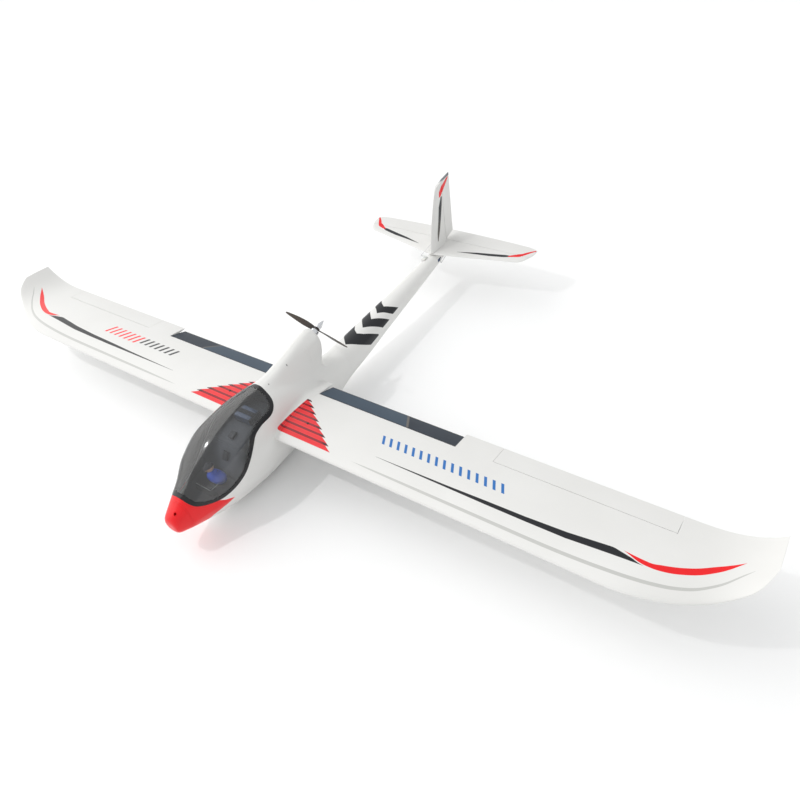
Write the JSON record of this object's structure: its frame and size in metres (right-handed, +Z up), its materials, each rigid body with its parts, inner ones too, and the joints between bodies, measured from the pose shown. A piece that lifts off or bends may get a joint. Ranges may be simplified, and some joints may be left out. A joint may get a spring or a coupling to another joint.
{
  "type": "rc glider",
  "caption": "Pusher motor glider with a bulbous pod, smoked canopy over a cockpit, long plain wing with flaps and ailerons, slim tail boom and hinged tail surfaces.",
  "frame": {"origin": "on the ground under the middle of the plan outline, where the belly skid's flat rests", "axes": "+X to the aircraft's left wing tip, +Y towards the tail, +Z up; the nose points to -Y"},
  "size_m": [2.6, 1.4737, 0.414],
  "materials": {
    "white_foam": "moulded foam with a semi-gloss skin, painted stripes",
    "red_paint": "semi-gloss red paint on foam",
    "slate_foam": "slate blue paint on foam",
    "black_gloss": "glossy black moulding",
    "smoke_glass": "clear smoke-tinted moulding",
    "tray_plastic": "satin black moulding",
    "black_plastic": "satin black",
    "figure_plastic": "painted soft plastic figure",
    "battery_wrap": "heat-shrink film",
    "webbing": "woven hook-and-loop strap",
    "carbon_tube": "wound carbon tube",
    "servo_case": "translucent dark blue moulding",
    "white_nylon": "moulded nylon",
    "steel": "drawn wire",
    "copper": "enamelled windings",
    "aluminium": "machined",
    "prop_plastic": "dark brown moulding"
  },
  "bodies": {
    "airframe": {"aileron_servo_left": "servo_case", "aileron_servo_right": "servo_case", "battery_pack": "battery_wrap", "battery_strap": "webbing", "belly_skid": "white_foam", "cockpit_tray": "tray_plastic", "elevator_servo": "servo_case", "flap_servo_left": "servo_case", "flap_servo_right": "servo_case", "fuselage_left": "white_foam", "fuselage_right": "white_foam", "instrument_panel": "black_plastic", "motor_mount": "black_plastic", "motor_stator": "copper", "nose_cap": "red_paint", "pilot_figure": "figure_plastic", "receiver": "black_plastic", "rudder_servo": "servo_case", "speed_controller": "black_plastic", "stabilizer": "white_foam", "tail_boom": "white_foam", "vertical_fin": "white_foam", "wing_left": "white_foam", "wing_right": "white_foam", "wing_screw_left": "steel", "wing_screw_right": "steel", "wing_spar": "carbon_tube"},
    "flap_left": {"flap_left": "slate_foam", "flap_horn_left": "white_nylon"},
    "flap_servo_arm_left": {"flap_servo_arm_left": "white_nylon"},
    "flap_pushrod_left": {"flap_pushrod_left": "steel"},
    "flap_right": {"flap_right": "slate_foam", "flap_horn_right": "white_nylon"},
    "flap_servo_arm_right": {"flap_servo_arm_right": "white_nylon"},
    "flap_pushrod_right": {"flap_pushrod_right": "steel"},
    "aileron_left": {"aileron_left": "white_foam", "aileron_horn_left": "white_nylon"},
    "aileron_servo_arm_left": {"aileron_servo_arm_left": "white_nylon"},
    "aileron_pushrod_left": {"aileron_pushrod_left": "steel"},
    "aileron_right": {"aileron_right": "white_foam", "aileron_horn_right": "white_nylon"},
    "aileron_servo_arm_right": {"aileron_servo_arm_right": "white_nylon"},
    "aileron_pushrod_right": {"aileron_pushrod_right": "steel"},
    "elevator": {"elevator": "white_foam", "elevator_horn": "white_nylon"},
    "elevator_servo_arm": {"elevator_servo_arm": "white_nylon"},
    "elevator_pushrod": {"elevator_pushrod": "steel"},
    "rudder": {"rudder": "white_foam", "rudder_horn": "white_nylon"},
    "rudder_servo_arm": {"rudder_servo_arm": "white_nylon"},
    "rudder_pushrod": {"rudder_pushrod": "steel"},
    "propeller_set": {"motor_bell": "aluminium", "motor_shaft": "steel", "propeller": "prop_plastic", "spinner": "aluminium"},
    "canopy": {"canopy_frame": "black_gloss", "canopy_glass": "smoke_glass"}
  },
  "joints": [
    {"name": "propeller_spin", "type": "hinge", "parent": "airframe", "child": "propeller_set", "pos_m": [0, -0.091, 0.274], "axis": [0, 0.9848, 0.1736], "continuous": true},
    {"name": "canopy_lift", "type": "slide", "parent": "airframe", "child": "canopy", "axis": [0, 0, 1], "range_m": [0, 0.15]},
    {"name": "flap_left_hinge", "type": "hinge", "parent": "airframe", "child": "flap_left", "pos_m": [0.3, -0.215, 0.173], "axis": [1, 0, 0], "range_deg": [-30, 10]},
    {"name": "flap_left_arm_pivot", "type": "hinge", "parent": "airframe", "child": "flap_servo_arm_left", "pos_m": [0.3, -0.285, 0.16306], "axis": [1, 0, 0], "range_deg": [-30, 10]},
    {"name": "flap_left_pushrod_pivot", "type": "hinge", "parent": "flap_servo_arm_left", "child": "flap_pushrod_left", "pos_m": [0.3, -0.28882, 0.14139], "axis": [1, 0, 0], "range_deg": [-10, 30]},
    {"name": "flap_right_hinge", "type": "hinge", "parent": "airframe", "child": "flap_right", "pos_m": [-0.3, -0.215, 0.173], "axis": [1, 0, 0], "range_deg": [-30, 10]},
    {"name": "flap_right_arm_pivot", "type": "hinge", "parent": "airframe", "child": "flap_servo_arm_right", "pos_m": [-0.3, -0.285, 0.16306], "axis": [1, 0, 0], "range_deg": [-30, 10]},
    {"name": "flap_right_pushrod_pivot", "type": "hinge", "parent": "flap_servo_arm_right", "child": "flap_pushrod_right", "pos_m": [-0.3, -0.28882, 0.14139], "axis": [1, 0, 0], "range_deg": [-10, 30]},
    {"name": "aileron_left_hinge", "type": "hinge", "parent": "airframe", "child": "aileron_left", "pos_m": [0.85, -0.215, 0.173], "axis": [1, 0, 0], "range_deg": [-25, 25]},
    {"name": "aileron_left_arm_pivot", "type": "hinge", "parent": "airframe", "child": "aileron_servo_arm_left", "pos_m": [0.85, -0.285, 0.16306], "axis": [1, 0, 0], "range_deg": [-25, 25]},
    {"name": "aileron_left_pushrod_pivot", "type": "hinge", "parent": "aileron_servo_arm_left", "child": "aileron_pushrod_left", "pos_m": [0.85, -0.285, 0.14506], "axis": [1, 0, 0], "range_deg": [-25, 25]},
    {"name": "aileron_right_hinge", "type": "hinge", "parent": "airframe", "child": "aileron_right", "pos_m": [-0.85, -0.215, 0.173], "axis": [1, 0, 0], "range_deg": [-25, 25]},
    {"name": "aileron_right_arm_pivot", "type": "hinge", "parent": "airframe", "child": "aileron_servo_arm_right", "pos_m": [-0.85, -0.285, 0.16306], "axis": [1, 0, 0], "range_deg": [-25, 25]},
    {"name": "aileron_right_pushrod_pivot", "type": "hinge", "parent": "aileron_servo_arm_right", "child": "aileron_pushrod_right", "pos_m": [-0.85, -0.285, 0.14506], "axis": [1, 0, 0], "range_deg": [-25, 25]},
    {"name": "elevator_hinge", "type": "hinge", "parent": "airframe", "child": "elevator", "pos_m": [0.0225, 0.663, 0.173], "axis": [1, 0, 0], "range_deg": [-15, 15]},
    {"name": "elevator_arm_pivot", "type": "hinge", "parent": "airframe", "child": "elevator_servo_arm", "pos_m": [0.0225, 0.579, 0.146], "axis": [1, 0, 0], "range_deg": [-15, 15]},
    {"name": "elevator_pushrod_pivot", "type": "hinge", "parent": "elevator_servo_arm", "child": "elevator_pushrod", "pos_m": [0.0225, 0.579, 0.132], "axis": [1, 0, 0], "range_deg": [-15, 15]},
    {"name": "rudder_hinge", "type": "hinge", "parent": "airframe", "child": "rudder", "pos_m": [0, 0.653, 0.173], "axis": [0, 0, 1], "range_deg": [-25, 25]},
    {"name": "rudder_arm_pivot", "type": "hinge", "parent": "airframe", "child": "rudder_servo_arm", "pos_m": [-0.012, 0.535, 0.173], "axis": [0, 0, 1], "range_deg": [-25, 25]},
    {"name": "rudder_pushrod_pivot", "type": "hinge", "parent": "rudder_servo_arm", "child": "rudder_pushrod", "pos_m": [-0.028, 0.535, 0.173], "axis": [0, 0, 1], "range_deg": [-25, 25]}
  ],
  "couplings": [
    {"joint": "flap_left_arm_pivot", "follows": "flap_left_hinge", "ratio": 1},
    {"joint": "flap_left_pushrod_pivot", "follows": "flap_left_hinge", "ratio": -1},
    {"joint": "flap_right_arm_pivot", "follows": "flap_right_hinge", "ratio": 1},
    {"joint": "flap_right_pushrod_pivot", "follows": "flap_right_hinge", "ratio": -1},
    {"joint": "aileron_left_arm_pivot", "follows": "aileron_left_hinge", "ratio": 1},
    {"joint": "aileron_left_pushrod_pivot", "follows": "aileron_left_hinge", "ratio": -1},
    {"joint": "aileron_right_arm_pivot", "follows": "aileron_right_hinge", "ratio": 1},
    {"joint": "aileron_right_pushrod_pivot", "follows": "aileron_right_hinge", "ratio": -1},
    {"joint": "elevator_arm_pivot", "follows": "elevator_hinge", "ratio": 1},
    {"joint": "elevator_pushrod_pivot", "follows": "elevator_hinge", "ratio": -1},
    {"joint": "rudder_arm_pivot", "follows": "rudder_hinge", "ratio": 1},
    {"joint": "rudder_pushrod_pivot", "follows": "rudder_hinge", "ratio": -1}
  ]
}
